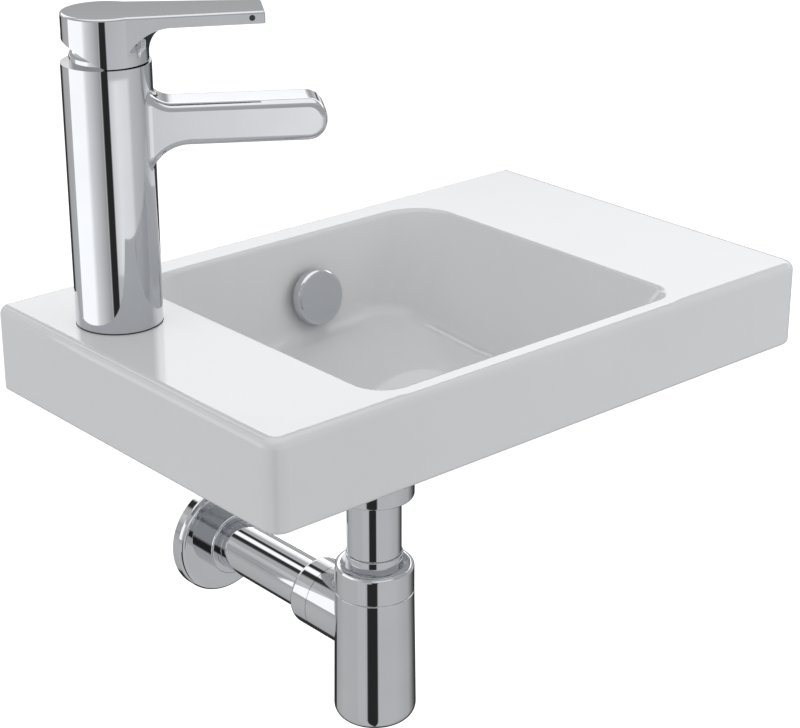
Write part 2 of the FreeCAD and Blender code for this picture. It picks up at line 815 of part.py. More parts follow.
def horseshoe(low, high):
    """A round plate under the deck, slotted for the two supply hoses and bored for the stud."""
    plate = rod(horseshoe_radius, low, high)
    half = horseshoe_slot_width / 2
    slot = prism([(-horseshoe_slot_end, -half, half / 2), (2 * horseshoe_radius, -half, 0),
                  (2 * horseshoe_radius, half, 0), (-horseshoe_slot_end, half, half / 2)], low, high)
    stud_hole = rod(stud_radius + running_clearance, low - cut_overrun, high + cut_overrun, -stud_back, 0)
    return on_tap(plate.cut([slot, stud_hole]))


def horseshoe_gasket():
    return horseshoe(-deck_thickness - horseshoe_gasket_thickness, -deck_thickness)


def horseshoe_plate():
    high = -deck_thickness - horseshoe_gasket_thickness
    return horseshoe(high - horseshoe_plate_thickness, high)


def stud_nut():
    high = -deck_thickness - horseshoe_gasket_thickness - horseshoe_plate_thickness
    low = high - stud_nut_height
    nut = polygon_rod(stud_nut_radius, hex_sides, low, high, -stud_back, 0)
    hole = rod(stud_radius + running_clearance, low - cut_overrun, high + cut_overrun, -stud_back, 0)
    return on_tap(nut.cut(hole))


def at_aerator(shape):
    return on_tap(shape.translated(FreeCAD.Vector(aerator_reach, 0, spout_underside)))


def aerator_housing():
    inner = aerator_radius - aerator_wall
    mouth = inner - aerator_lip
    return at_aerator(turned(plain((mouth, 0), (aerator_radius, 0), (aerator_radius, aerator_height),
                                   (inner, aerator_height), (inner, aerator_lip), (mouth, aerator_lip))))


def aerator_insert():
    inner = aerator_radius - aerator_wall - running_clearance
    low = aerator_lip
    disc = rod(inner, low, low + aerator_insert_height)
    steps = int((inner - aerator_lip - aerator_grid_hole) // aerator_grid_pitch)
    half = aerator_grid_hole / 2
    holes = []
    for row in range(-steps, steps + 1):
        for column in range(-steps, steps + 1):
            x = column * aerator_grid_pitch
            y = row * aerator_grid_pitch
            if math.hypot(x, y) + aerator_grid_hole < inner - aerator_lip:
                holes.append(prism(rectangle(x - half, x + half, y - half, y + half, 0), low,
                                   low + aerator_insert_height))
    return at_aerator(disc.cut(holes))


def aerator_seal():
    low = aerator_height
    return at_aerator(ring(aerator_radius, spout_bore_radius, low, low + aerator_seal_thickness))


def port_places():
    """The outlet port on the axis and the two inlet ports above the hoses."""
    return [(0, 0), (inlet_forward, inlet_spread), (inlet_forward, -inlet_spread)]


def cartridge_base():
    disc = rod(cartridge_radius, seat_level, base_top)
    cuts = []
    for x, y in port_places():
        low = seat_level - cut_overrun
        cuts.append(rod(port_radius, low, base_top + cut_overrun, x, y))
        cuts.append(rod(port_radius + port_seal_width, low, seat_level + port_seal_height, x, y))
    return on_tap(disc.cut(cuts))


def cartridge_base_seals():
    seals = []
    for x, y in port_places():
        seal = ring(port_radius + port_seal_width, port_radius, seat_level, seat_level + port_seal_height)
        seals.append(seal.translated(FreeCAD.Vector(x, y, 0)))
    return on_tap(Part.makeCompound(seals))


def cartridge_housing():
    shoulder = tap_height - cartridge_shoulder_below_top
    inner = cartridge_radius - cartridge_wall
    neck_inner = cartridge_neck_radius - cartridge_wall
    lip = turret_neck_radius + running_clearance
    lip_low = housing_top - cartridge_lip_thickness
    return on_tap(turned(plain((inner, base_top), (cartridge_radius, base_top), (cartridge_radius, shoulder),
                               (cartridge_neck_radius, shoulder), (cartridge_neck_radius, housing_top),
                               (lip, housing_top), (lip, lip_low), (neck_inner, lip_low),
                               (neck_inner, shoulder - cartridge_wall), (inner, shoulder - cartridge_wall))))


def fixed_disc():
    disc = rod(fixed_disc_radius, base_top, fixed_disc_top)
    ports = [rod(port_radius, base_top - cut_overrun, fixed_disc_top + cut_overrun, x, y)
             for x, y in port_places()]
    return on_tap(disc.cut(ports))


def moving_disc():
    disc = rod(moving_disc_radius, moving_disc_bottom, moving_disc_top)
    half = inlet_spread + port_radius
    pocket = prism(rectangle(-moving_pocket_back, moving_pocket_front, -half, half, port_radius),
                   moving_disc_bottom - cut_overrun, moving_disc_bottom + moving_disc_pocket)
    return on_tap(disc.cut(pocket))


def disc_carrier():
    plate = rod(carrier_radius, moving_disc_top, moving_disc_top + carrier_plate_height)
    hub = rod(carrier_hub_radius, moving_disc_top, carrier_top)
    socket_low = moving_disc_top + carrier_floor
    socket = rod(stem_ball_radius + ball_clearance, socket_low, carrier_top + cut_overrun)
    return on_tap(plate.fuse(hub).cut(socket).removeSplitter())


def cartridge_turret():
    flange_low = carrier_top + seat_gap
    flange_high = flange_low + turret_flange_height
    neck_high = tap_height + turret_neck_above_top
    ear_high = pivot_level + turret_ear_above_pivot
    flange = rod(turret_flange_radius, flange_low, flange_high)
    neck = rod(turret_neck_radius, flange_low, neck_high)
    ear_inner = turret_slot_width / 2
    ears = []
    for side in (-1, 1):
        front = side * ear_inner - turret_ear_thickness * (1 - side) / 2
        ears.append(Part.makeBox(turret_ear_length, turret_ear_thickness, ear_high - flange_low,
                                 FreeCAD.Vector(-turret_ear_length / 2, front, flange_low)))
    slot = Part.makeBox(turret_slot_length, turret_slot_width, ear_high,
                        FreeCAD.Vector(-turret_slot_length / 2, -ear_inner, flange_low - cut_overrun))
    pin_hole = Part.makeCylinder(pivot_pin_radius, 2 * turret_neck_radius,
                                 FreeCAD.Vector(0, -turret_neck_radius, pivot_level), FreeCAD.Vector(0, 1, 0))
    return on_tap(flange.fuse([neck] + ears).cut([slot, pin_hole]).removeSplitter())


def pivot_pin():
    start = FreeCAD.Vector(0, -pivot_pin_length / 2, pivot_level)
    return on_tap(Part.makeCylinder(pivot_pin_radius, pivot_pin_length, start, FreeCAD.Vector(0, 1, 0)))


def cartridge_stem():
    ball_level = pivot_level - stem_arm
    ball = Part.makeSphere(stem_ball_radius, FreeCAD.Vector(0, 0, ball_level))
    shank = rod(stem_rod_radius, ball_level, pivot_level)
    hub_width = turret_slot_width - 2 * seat_gap
    hub = Part.makeCylinder(stem_hub_radius, hub_width, FreeCAD.Vector(0, -hub_width / 2, pivot_level),
                            FreeCAD.Vector(0, 1, 0))
    square_low = pivot_level + stem_square_above_pivot - stem_hub_radius
    half = stem_square / 2
    square = prism(rectangle(-half, half, -half + seat_gap, half - seat_gap, 0), square_low,
                   pivot_level + stem_height)
    pin_hole = Part.makeCylinder(pivot_pin_radius + running_clearance, 2 * hub_width,
                                 FreeCAD.Vector(0, -hub_width, pivot_level), FreeCAD.Vector(0, 1, 0))
    return on_tap(ball.fuse([shank, hub, square]).cut(pin_hole).removeSplitter())


def cartridge_clamp_nut():
    low = tap_height - cartridge_shoulder_below_top
    high = low + clamp_nut_height
    inner = cartridge_neck_radius + thread_clearance
    nut = ring(clamp_nut_radius, inner, low, high)
    notch = Part.makeBox(clamp_nut_radius, clamp_nut_notch, clamp_nut_notch,
                         FreeCAD.Vector((inner + clamp_nut_radius) / 2, -clamp_nut_notch / 2,
                                        high - clamp_nut_notch / 2))
    return on_tap(nut.cut(around(notch, clamp_nut_notches)))


def dome_ring():
    low = tap_height
    band = low + dome_base_height
    high = low + dome_height
    bulge = dome_base_radius - dome_top_radius
    outside = turned([(0, low, 0), (dome_base_radius, low, 0), (dome_base_radius, high, bulge), (0, high, 0)])
    inner = dome_base_radius - dome_wall
    inside = turned([(0, low - cut_overrun, 0), (inner, low - cut_overrun, 0),
                     (inner, high - dome_wall, bulge - dome_wall), (0, high - dome_wall, 0)])
    opening = rod(dome_top_radius, band, high + cut_overrun)
    return on_tap(outside.cut([inside, opening]))


def lever_blade(low, high):
    """The lever's straight-sided plan, from the tap's axis to the tip."""
    root = lever_root_width / 2
    tip = lever_tip_width / 2
    return prism([(0, -root, 0), (lever_reach, -tip, lever_tip_rounding),
                  (lever_reach, tip, lever_tip_rounding), (0, root, 0)], low, high)


def lever_handle():
    cap_low = tap_height + lever_cap_gap
    flare_reach = lever_cap_radius + lever_root_radius + lever_thickness
    flare = turned([(0, cap_low, 0), (lever_cap_radius, cap_low, 0),
                    (lever_cap_radius, lever_under, lever_root_radius), (flare_reach, lever_under, 0),
                    (flare_reach, lever_top, 0), (0, lever_top, 0)])
    body = rod(lever_cap_radius, cap_low, lever_top).fuse(
        [lever_blade(lever_under, lever_top), flare.common(lever_blade(cap_low, lever_top))]).removeSplitter()
    top_edges = edges_where(body, lambda middle: middle.z > lever_top - seat_gap)
    body = body.makeFillet(lever_edge_radius, top_edges)
    inner = lever_cap_radius - lever_cap_wall
    body = body.cut(rod(inner, cap_low - cut_overrun, lever_ceiling))
    boss_low = lever_ceiling - lever_boss_length
    body = body.fuse(rod(lever_boss_radius, boss_low, lever_ceiling))
    half = stem_square / 2
    fit = running_clearance
    stem_top = pivot_level + stem_height
    socket = prism(rectangle(-half - fit, half + fit, -half + seat_gap - fit, half - seat_gap + fit, 0),
                   boss_low - cut_overrun, stem_top + seat_gap)
    screw_hole = Part.makeCylinder(lever_screw_radius + running_clearance, 2 * lever_cap_radius,
                                   FreeCAD.Vector(0, 0, boss_low + lever_screw_above_boss_end),
                                   FreeCAD.Vector(-1, 0, 0))
    near = lever_cut_behind_axis
    far = 2 * lever_cap_radius
    cut_rise = (far - near) * math.tan(math.radians(lever_cut_deg))
    wedge = side_prism(plain((-near, cap_low - cut_overrun), (-near, cap_low), (-far, cap_low + cut_rise),
                             (-far, cap_low - cut_overrun)), 2 * far)
    body = body.cut([socket, screw_hole, wedge])
    return on_tap(body.cut(indicator_form()).removeSplitter())


def indicator_form():
    """Short round inlay, square to the lever's near side, flush with it."""
    lean = math.atan((lever_root_width - lever_tip_width) / 2 / lever_reach)
    x = lever_reach - indicator_from_tip
    y = -(lever_tip_width / 2 + indicator_from_tip * math.tan(lean))
    outward = FreeCAD.Vector(math.sin(lean), -math.cos(lean), 0)
    centre = FreeCAD.Vector(x, y, lever_top - lever_thickness / 2)
    return Part.makeCylinder(indicator_radius, indicator_depth, centre - outward * indicator_depth, outward)


def lever_screw():
    level = lever_ceiling - lever_boss_length + lever_screw_above_boss_end
    start = FreeCAD.Vector(-stem_square / 2, 0, level)
    return on_tap(Part.makeCylinder(lever_screw_radius, lever_screw_length, start, FreeCAD.Vector(-1, 0, 0)))


def indicator_plug():
    return on_tap(indicator_form())


PIECES = [basin_body, overflow_cover, overflow_clip, waste_body, waste_flange_seal, waste_under_seal,
          waste_back_nut, plug_guide, plug_cap, plug_seal, tail_union_nut, tail_seal, tail_pipe, trap_cap,
          inlet_seal, trap_cap_seal, trap_bottle, outlet_union_nut, outlet_seal, outlet_pipe, wall_rosette,
          tap_body, tap_base_gasket, mounting_stud, horseshoe_gasket, horseshoe_plate, stud_nut,
          aerator_housing, aerator_insert, aerator_seal, cartridge_base, cartridge_base_seals,
          cartridge_housing, fixed_disc, moving_disc, disc_carrier, cartridge_turret, pivot_pin,
          cartridge_stem, cartridge_clamp_nut, dome_ring, lever_handle, lever_screw, indicator_plug]

os.makedirs("parts", exist_ok=True)
for piece in PIECES:
    shape = piece()
    shape.exportStep("parts/" + piece.__name__ + ".step")
    print(piece.__name__, len(shape.Solids), round(shape.Volume), shape.isValid())
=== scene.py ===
import bpy
import bmesh
import math
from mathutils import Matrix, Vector


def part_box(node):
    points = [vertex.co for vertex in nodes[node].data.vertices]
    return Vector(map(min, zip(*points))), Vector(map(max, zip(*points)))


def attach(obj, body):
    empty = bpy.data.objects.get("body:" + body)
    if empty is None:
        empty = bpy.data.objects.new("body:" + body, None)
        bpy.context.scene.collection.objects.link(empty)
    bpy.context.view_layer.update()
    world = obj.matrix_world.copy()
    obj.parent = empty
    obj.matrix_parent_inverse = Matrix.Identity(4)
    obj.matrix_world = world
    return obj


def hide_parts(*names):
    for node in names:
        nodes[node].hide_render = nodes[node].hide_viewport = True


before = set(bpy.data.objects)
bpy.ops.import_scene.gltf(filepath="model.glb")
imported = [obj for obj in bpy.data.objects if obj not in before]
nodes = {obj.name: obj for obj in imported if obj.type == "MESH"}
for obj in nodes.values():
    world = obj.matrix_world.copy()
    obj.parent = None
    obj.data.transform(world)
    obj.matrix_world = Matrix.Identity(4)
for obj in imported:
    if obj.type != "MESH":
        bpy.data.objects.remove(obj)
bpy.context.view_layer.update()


# Basin: one slip-cast vitreous china body, glazed white and fired once.
# Its back face is ground flat and stays unglazed, because two studs draw it against the wall.

def linear(code):
    """sRGB hex code as a linear RGBA colour."""
    parts = [int(code[i:i + 2], 16) / 255 for i in (1, 3, 5)]
    return [c / 12.92 if c <= 0.04045 else ((c + 0.055) / 1.055) ** 2.4 for c in parts] + [1.0]


def add_node(tree, kind, values=None, links=None, **settings):
    """Adds a node with its settings, its socket values and the links into it."""
    node = tree.nodes.new(kind)
    for name, value in settings.items():
        setattr(node, name, value)
    for socket, value in (values or {}).items():
        node.inputs[socket].default_value = value
    for socket, source in (links or {}).items():
        tree.links.new(source, node.inputs[socket])
    return node


def new_material(name, **constants):
    """A node material with its shader's constant sockets set, and the object's own coordinates."""
    material = bpy.data.materials.new(name)
    material.use_nodes = True
    tree = material.node_tree
    tree.nodes.clear()
    shader = add_node(tree, "ShaderNodeBsdfPrincipled")
    for socket, value in constants.items():
        shader.inputs[socket.replace("_", " ")].default_value = value
    add_node(tree, "ShaderNodeOutputMaterial", links={"Surface": shader.outputs["BSDF"]})
    place = add_node(tree, "ShaderNodeTexCoord").outputs["Object"]
    return material, tree, shader, place


def dress(names, material):
    """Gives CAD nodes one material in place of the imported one."""
    for name in names:
        nodes[name].data.materials.clear()
        nodes[name].data.materials.append(material)


# The glaze is smooth as glass, with a faint ripple some 15 mm long from its flow in the kiln, and is
# thicker and whiter in clouds 70 mm wide. Only the ground back face shows the dull, slightly warm bisque,
# whose grit of about 0.1 mm is drawn ten times as coarse so that it can be seen.
glazed_china, tree, shader, place = new_material("glazed vitreous china", IOR=1.6)
MM = 0.001
GLAZE = "#EDEEEF"
GLAZE_THIN = "#E6E7E8"
GLAZE_ROUGHNESS = (0.02, 0.05)
RIPPLE_LENGTH = 15.385 * MM
RIPPLE_HEIGHT = 0.3 * MM
RIPPLE_STRENGTH = 0.03
CLOUD_WIDTH = 71.43 * MM
BISQUE = "#D9D2C4"
BISQUE_ROUGHNESS = 0.75
GRIT_SIZE = 1.111 * MM
GRIT_HEIGHT = 0.2 * MM
BACK_FACE = -0.3 * MM
flow = add_node(tree, "ShaderNodeTexNoise", {"Scale": 1 / RIPPLE_LENGTH, "Detail": 2.0}, {"Vector": place})
cloud = add_node(tree, "ShaderNodeTexNoise", {"Scale": 1 / CLOUD_WIDTH, "Detail": 3.0}, {"Vector": place})
grit = add_node(tree, "ShaderNodeTexNoise", {"Scale": 1 / GRIT_SIZE, "Detail": 4.0}, {"Vector": place})
depth = add_node(tree, "ShaderNodeSeparateXYZ", links={"Vector": place}).outputs["Y"]
ground = add_node(tree, "ShaderNodeMath", {1: BACK_FACE}, {0: depth}, operation="GREATER_THAN")
glaze = add_node(tree, "ShaderNodeMixRGB", {"Color1": linear(GLAZE_THIN), "Color2": linear(GLAZE)},
                 {"Fac": cloud.outputs["Fac"]})
colour = add_node(tree, "ShaderNodeMixRGB", {"Color2": linear(BISQUE)},
                  {"Fac": ground.outputs[0], "Color1": glaze.outputs["Color"]})
gloss = add_node(tree, "ShaderNodeMapRange", {"To Min": GLAZE_ROUGHNESS[0], "To Max": GLAZE_ROUGHNESS[1]},
                 {"Value": flow.outputs["Fac"]})
sheen = add_node(tree, "ShaderNodeMix", {"B": BISQUE_ROUGHNESS},
                 {"Factor": ground.outputs[0], "A": gloss.outputs["Result"]})
ripple = add_node(tree, "ShaderNodeBump", {"Strength": RIPPLE_STRENGTH, "Distance": RIPPLE_HEIGHT},
                  {"Height": flow.outputs["Fac"]})
rough = add_node(tree, "ShaderNodeBump", {"Distance": GRIT_HEIGHT},
                 {"Strength": ground.outputs[0], "Height": grit.outputs["Fac"],
                  "Normal": ripple.outputs["Normal"]})
tree.links.new(colour.outputs["Color"], shader.inputs["Base Color"])
tree.links.new(sheen.outputs["Result"], shader.inputs["Roughness"])
tree.links.new(rough.outputs["Normal"], shader.inputs["Normal"])
dress(["basin_body"], glazed_china)


# Overflow cover: a small pressed brass cap, chrome-plated, that stands off the bowl's back wall.
# A white acetal clip with spring fingers holds it in the overflow hole.

# Chrome plate is a mirror with the faint haze of the buffing wheel, in patches some 25 mm across.
polished_chrome, tree, shader, place = new_material("polished chrome plate", Metallic=1.0)
CHROME = "#D6D8DB"
CHROME_HAZE = "#CCCED2"
CHROME_ROUGHNESS = (0.02, 0.06)
HAZE_WIDTH = 25 * MM
patches = add_node(tree, "ShaderNodeTexNoise", {"Scale": 1 / HAZE_WIDTH, "Detail": 3.0}, {"Vector": place})
tint = add_node(tree, "ShaderNodeMixRGB", {"Color1": linear(CHROME), "Color2": linear(CHROME_HAZE)},
                {"Fac": patches.outputs["Fac"]})
polish = add_node(tree, "ShaderNodeMapRange", {"To Min": CHROME_ROUGHNESS[0], "To Max": CHROME_ROUGHNESS[1]},
                  {"Value": patches.outputs["Fac"]})
tree.links.new(tint.outputs["Color"], shader.inputs["Base Color"])
tree.links.new(polish.outputs["Result"], shader.inputs["Roughness"])
dress(["overflow_cover"], polished_chrome)

# Moulded acetal is waxy and slightly see-through. Its mould's spark-eroded grain, about 0.1 mm, is drawn
# 0.7 mm wide so that it can be seen, and its shade drifts in clouds 11 mm wide.
moulded_acetal, tree, shader, place = new_material("moulded acetal", Subsurface_Weight=0.1,
                                                   Subsurface_Radius=(0.002, 0.002, 0.0018), IOR=1.48)
ACETAL = "#D6D5CF"
ACETAL_SHADE = "#C9C8C1"
ACETAL_ROUGHNESS = (0.32, 0.45)
MOULD_GRAIN = 0.7143 * MM
MOULD_GRAIN_HEIGHT = 0.1 * MM
MOULD_GRAIN_STRENGTH = 0.15
SHADE_WIDTH = 11.11 * MM
grain = add_node(tree, "ShaderNodeTexNoise", {"Scale": 1 / MOULD_GRAIN, "Detail": 2.0}, {"Vector": place})
cloud = add_node(tree, "ShaderNodeTexNoise", {"Scale": 1 / SHADE_WIDTH}, {"Vector": place})
tint = add_node(tree, "ShaderNodeMixRGB", {"Color1": linear(ACETAL_SHADE), "Color2": linear(ACETAL)},
                {"Fac": cloud.outputs["Fac"]})
matt = add_node(tree, "ShaderNodeMapRange", {"To Min": ACETAL_ROUGHNESS[0], "To Max": ACETAL_ROUGHNESS[1]},
                {"Value": grain.outputs["Fac"]})
bump = add_node(tree, "ShaderNodeBump", {"Strength": MOULD_GRAIN_STRENGTH, "Distance": MOULD_GRAIN_HEIGHT},
                {"Height": grain.outputs["Fac"]})
tree.links.new(tint.outputs["Color"], shader.inputs["Base Color"])
tree.links.new(matt.outputs["Result"], shader.inputs["Roughness"])
tree.links.new(bump.outputs["Normal"], shader.inputs["Normal"])
dress(["overflow_clip"], moulded_acetal)


# Waste: a chrome-plated brass body clamped through the china by a nut, between two rubber rings.
# A push plug rides in an acetal guide on the body's cross.

# Moulded rubber is dull black, bloomed grey in patches of four or five millimetres.
moulded_rubber, tree, shader, place = new_material("moulded EPDM rubber", IOR=1.5)
RUBBER = "#19191A"
RUBBER_BLOOM = "#2A2A2B"
RUBBER_ROUGHNESS = (0.55, 0.75)
BLOOM_WIDTH = 4.545 * MM
BLOOM_HEIGHT = 0.1 * MM
BLOOM_STRENGTH = 0.2
bloom = add_node(tree, "ShaderNodeTexNoise", {"Scale": 1 / BLOOM_WIDTH, "Detail": 4.0}, {"Vector": place})
tint = add_node(tree, "ShaderNodeMixRGB", {"Color1": linear(RUBBER), "Color2": linear(RUBBER_BLOOM)},
                {"Fac": bloom.outputs["Fac"]})
matt = add_node(tree, "ShaderNodeMapRange", {"To Min": RUBBER_ROUGHNESS[0], "To Max": RUBBER_ROUGHNESS[1]},
                {"Value": bloom.outputs["Fac"]})
bump = add_node(tree, "ShaderNodeBump", {"Strength": BLOOM_STRENGTH, "Distance": BLOOM_HEIGHT},
                {"Height": bloom.outputs["Fac"]})
tree.links.new(tint.outputs["Color"], shader.inputs["Base Color"])
tree.links.new(matt.outputs["Result"], shader.inputs["Roughness"])
tree.links.new(bump.outputs["Normal"], shader.inputs["Normal"])
dress(["waste_body", "waste_back_nut", "plug_cap"], polished_chrome)
dress(["waste_flange_seal", "waste_under_seal", "plug_seal"], moulded_rubber)
dress(["plug_guide"], moulded_acetal)


# Bottle trap: brass pressings and tube, chrome-plated, screwed together by hand.
# Flat rubber rings seal its unions, and a rosette with a sleeve covers the hole in the wall.

dress(["tail_union_nut", "tail_pipe", "trap_cap", "trap_bottle", "outlet_union_nut", "outlet_pipe",
       "wall_rosette"], polished_chrome)
dress(["tail_seal", "inlet_seal", "trap_cap_seal", "outlet_seal"], moulded_rubber)


# Tap fixing: a zinc-plated M8 stud with a rolled thread, drawn down by a nut on a horseshoe plate.
# Rubber gaskets above and below keep the metal off the glaze.

# Zinc plate is bluish grey and cloudy, with the crystals of its bath a millimetre or two across.
zinc_plated_steel, tree, shader, place = new_material("zinc-plated steel", Metallic=1.0)
ZINC = "#B9BCC0"
ZINC_SHADE = "#9DA1A8"
ZINC_ROUGHNESS = (0.25, 0.42)
CRYSTAL_WIDTH = 1.667 * MM
crystals = add_node(tree, "ShaderNodeTexVoronoi", {"Scale": 1 / CRYSTAL_WIDTH}, {"Vector": place})
tint = add_node(tree, "ShaderNodeMixRGB", {"Color1": linear(ZINC), "Color2": linear(ZINC_SHADE)},
                {"Fac": crystals.outputs["Distance"]})
satin = add_node(tree, "ShaderNodeMapRange", {"To Min": ZINC_ROUGHNESS[0], "To Max": ZINC_ROUGHNESS[1]},
                 {"Value": crystals.outputs["Distance"]})
tree.links.new(tint.outputs["Color"], shader.inputs["Base Color"])
tree.links.new(satin.outputs["Result"], shader.inputs["Roughness"])

# The stud's thread is one ridge that climbs a core with chamfered ends, and leaves a plain turn at both.
# The ridge's profile spans one pitch, so the spin makes one turn less.
stud_low, stud_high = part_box("mounting_stud")
STUD_RADIUS = (stud_high.x - stud_low.x) / 2
STUD_LENGTH = stud_high.z - stud_low.z
STUD_AXIS = Vector(((stud_low.x + stud_high.x) / 2, (stud_low.y + stud_high.y) / 2, 0))
THREAD_PITCH = 1.25 * MM
THREAD_DEPTH = 0.7 * MM
THREAD_HALF_FLAT = 0.06
THREAD_STEPS = 32
PLAIN_TURNS = 1
MERGE_DISTANCE = 0.01 * MM
ROOT_RADIUS = STUD_RADIUS - THREAD_DEPTH
bm = bmesh.new()
flank = [bm.verts.new(STUD_AXIS + Vector((radius, 0, stud_low.z + THREAD_PITCH * (PLAIN_TURNS + rise))))
         for radius, rise in ((ROOT_RADIUS, THREAD_HALF_FLAT), (STUD_RADIUS, 0.5 - THREAD_HALF_FLAT),
                              (STUD_RADIUS, 0.5 + THREAD_HALF_FLAT), (ROOT_RADIUS, 1 - THREAD_HALF_FLAT),
                              (ROOT_RADIUS, 1 + THREAD_HALF_FLAT))]
ridge = [bm.edges.new(flank[i:i + 2]) for i in range(len(flank) - 1)]
turns = int(STUD_LENGTH / THREAD_PITCH) - 2 * PLAIN_TURNS - 1
bmesh.ops.spin(bm, geom=flank + ridge, cent=STUD_AXIS, axis=(0, 0, 1), angle=2 * math.pi * turns,
               dvec=(0, 0, THREAD_PITCH / THREAD_STEPS), steps=THREAD_STEPS * turns)
core = bmesh.ops.create_cone(bm, cap_ends=True, segments=THREAD_STEPS, radius1=ROOT_RADIUS,
                             radius2=ROOT_RADIUS, depth=STUD_LENGTH)["verts"]
bmesh.ops.translate(bm, verts=core, vec=STUD_AXIS + Vector((0, 0, (stud_low.z + stud_high.z) / 2)))
ends = [edge for edge in bm.edges if edge.verts[0] in core and edge.verts[1] in core
        and abs(edge.verts[0].co.z - edge.verts[1].co.z) < THREAD_DEPTH]
bmesh.ops.bevel(bm, geom=ends, offset=THREAD_DEPTH, offset_type="OFFSET", segments=1, profile=0.5,
                affect="EDGES", material=-1)
bmesh.ops.remove_doubles(bm, verts=bm.verts, dist=MERGE_DISTANCE)
bmesh.ops.recalc_face_normals(bm, faces=bm.faces)
stud_mesh = bpy.data.meshes.new("threaded_stud")
bm.to_mesh(stud_mesh)
bm.free()
stud = bpy.data.objects.new("threaded_stud", stud_mesh)
bpy.context.scene.collection.objects.link(stud)
stud.data.materials.append(zinc_plated_steel)
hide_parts("mounting_stud")
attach(stud, "basin")
dress(["horseshoe_plate", "stud_nut"], zinc_plated_steel)
dress(["tap_base_gasket", "horseshoe_gasket"], moulded_rubber)


# Tap body: cast brass, turned, polished and chrome-plated, with the spout cast on.
# The aerator screws into the spout's end from below.

dress(["tap_body", "aerator_housing"], polished_chrome)
dress(["aerator_insert"], moulded_acetal)
dress(["aerator_seal"], moulded_rubber)


# Ceramic cartridge: an acetal housing with a fixed and a sliding alumina disc, moved by a brass stem.
# A brass ring nut holds it down in the body, under a chromed dome.

# Turned brass shows the tool's rings. Real ones lie about 0.1 mm apart, and here they are drawn as soft
# bands 5 mm apart so that they can be seen. At Scale 1 the wave runs through 20 radians in a metre.
turned_brass, tree, shader, place = new_material("turned brass", Metallic=1.0)
BRASS = "#C09A5B"
BRASS_DULL = "#A5824A"
BRASS_ROUGHNESS = (0.22, 0.36)
RING_SPACING = 5.027 * MM
RING_WAVER = 0.6
WAVE_RADIANS = 20
rings = add_node(tree, "ShaderNodeTexWave",
                 {"Scale": 2 * math.pi / WAVE_RADIANS / RING_SPACING, "Distortion": RING_WAVER},
                 {"Vector": place},
                 bands_direction="Z")
tint = add_node(tree, "ShaderNodeMixRGB", {"Color1": linear(BRASS), "Color2": linear(BRASS_DULL)},
                {"Fac": rings.outputs["Fac"]})
satin = add_node(tree, "ShaderNodeMapRange", {"To Min": BRASS_ROUGHNESS[0], "To Max": BRASS_ROUGHNESS[1]},
                 {"Value": rings.outputs["Fac"]})
tree.links.new(tint.outputs["Color"], shader.inputs["Base Color"])
tree.links.new(satin.outputs["Result"], shader.inputs["Roughness"])

# Lapped alumina is ivory white and glossy. Its grey specks of a few hundredths of a millimetre are drawn
# 0.4 mm wide so that they can be seen.
lapped_alumina, tree, shader, place = new_material("lapped alumina", IOR=1.76)
ALUMINA = "#E9E4D8"
ALUMINA_SPECK = "#CFC9BC"
ALUMINA_ROUGHNESS = (0.08, 0.16)
SPECK_WIDTH = 0.4 * MM
specks = add_node(tree, "ShaderNodeTexNoise", {"Scale": 1 / SPECK_WIDTH, "Detail": 3.0}, {"Vector": place})
tint = add_node(tree, "ShaderNodeMixRGB", {"Color1": linear(ALUMINA), "Color2": linear(ALUMINA_SPECK)},
                {"Fac": specks.outputs["Fac"]})
lapped = add_node(tree, "ShaderNodeMapRange",
                  {"To Min": ALUMINA_ROUGHNESS[0], "To Max": ALUMINA_ROUGHNESS[1]},
                  {"Value": specks.outputs["Fac"]})
tree.links.new(tint.outputs["Color"], shader.inputs["Base Color"])
tree.links.new(lapped.outputs["Result"], shader.inputs["Roughness"])
dress(["cartridge_base", "cartridge_housing", "disc_carrier", "cartridge_turret"], moulded_acetal)
dress(["cartridge_base_seals"], moulded_rubber)
dress(["fixed_disc", "moving_disc"], lapped_alumina)
dress(["cartridge_stem", "cartridge_clamp_nut"], turned_brass)
dress(["pivot_pin"], zinc_plated_steel)
dress(["dome_ring"], polished_chrome)


# Lever: a chrome-plated zinc die casting, clamped on the stem by a grub screw at the back.
# A small dark inlay near its tip marks the tap's middle setting.

# The inlay is glossy moulded ABS with a faint mottle, two thirds of a millimetre wide.
glossy_inlay, tree, shader, place = new_material("glossy ABS inlay", IOR=1.53)
INLAY = "#2B2C30"
INLAY_SHADE = "#1D1E21"
INLAY_ROUGHNESS = (0.12, 0.22)
MOTTLE_WIDTH = 0.6667 * MM
mottle = add_node(tree, "ShaderNodeTexNoise", {"Scale": 1 / MOTTLE_WIDTH}, {"Vector": place})
tint = add_node(tree, "ShaderNodeMixRGB", {"Color1": linear(INLAY), "Color2": linear(INLAY_SHADE)},
                {"Fac": mottle.outputs["Fac"]})
gloss = add_node(tree, "ShaderNodeMapRange", {"To Min": INLAY_ROUGHNESS[0], "To Max": INLAY_ROUGHNESS[1]},
                 {"Value": mottle.outputs["Fac"]})
tree.links.new(tint.outputs["Color"], shader.inputs["Base Color"])
tree.links.new(gloss.outputs["Result"], shader.inputs["Roughness"])
dress(["lever_handle"], polished_chrome)
dress(["lever_screw"], zinc_plated_steel)
dress(["indicator_plug"], glossy_inlay)


# Studio: a pale floor under the hung basin, a softbox on either side and above, in a wide surround.
# Curved cards stand beside the chrome, as in any photograph of it, and show only in reflections.

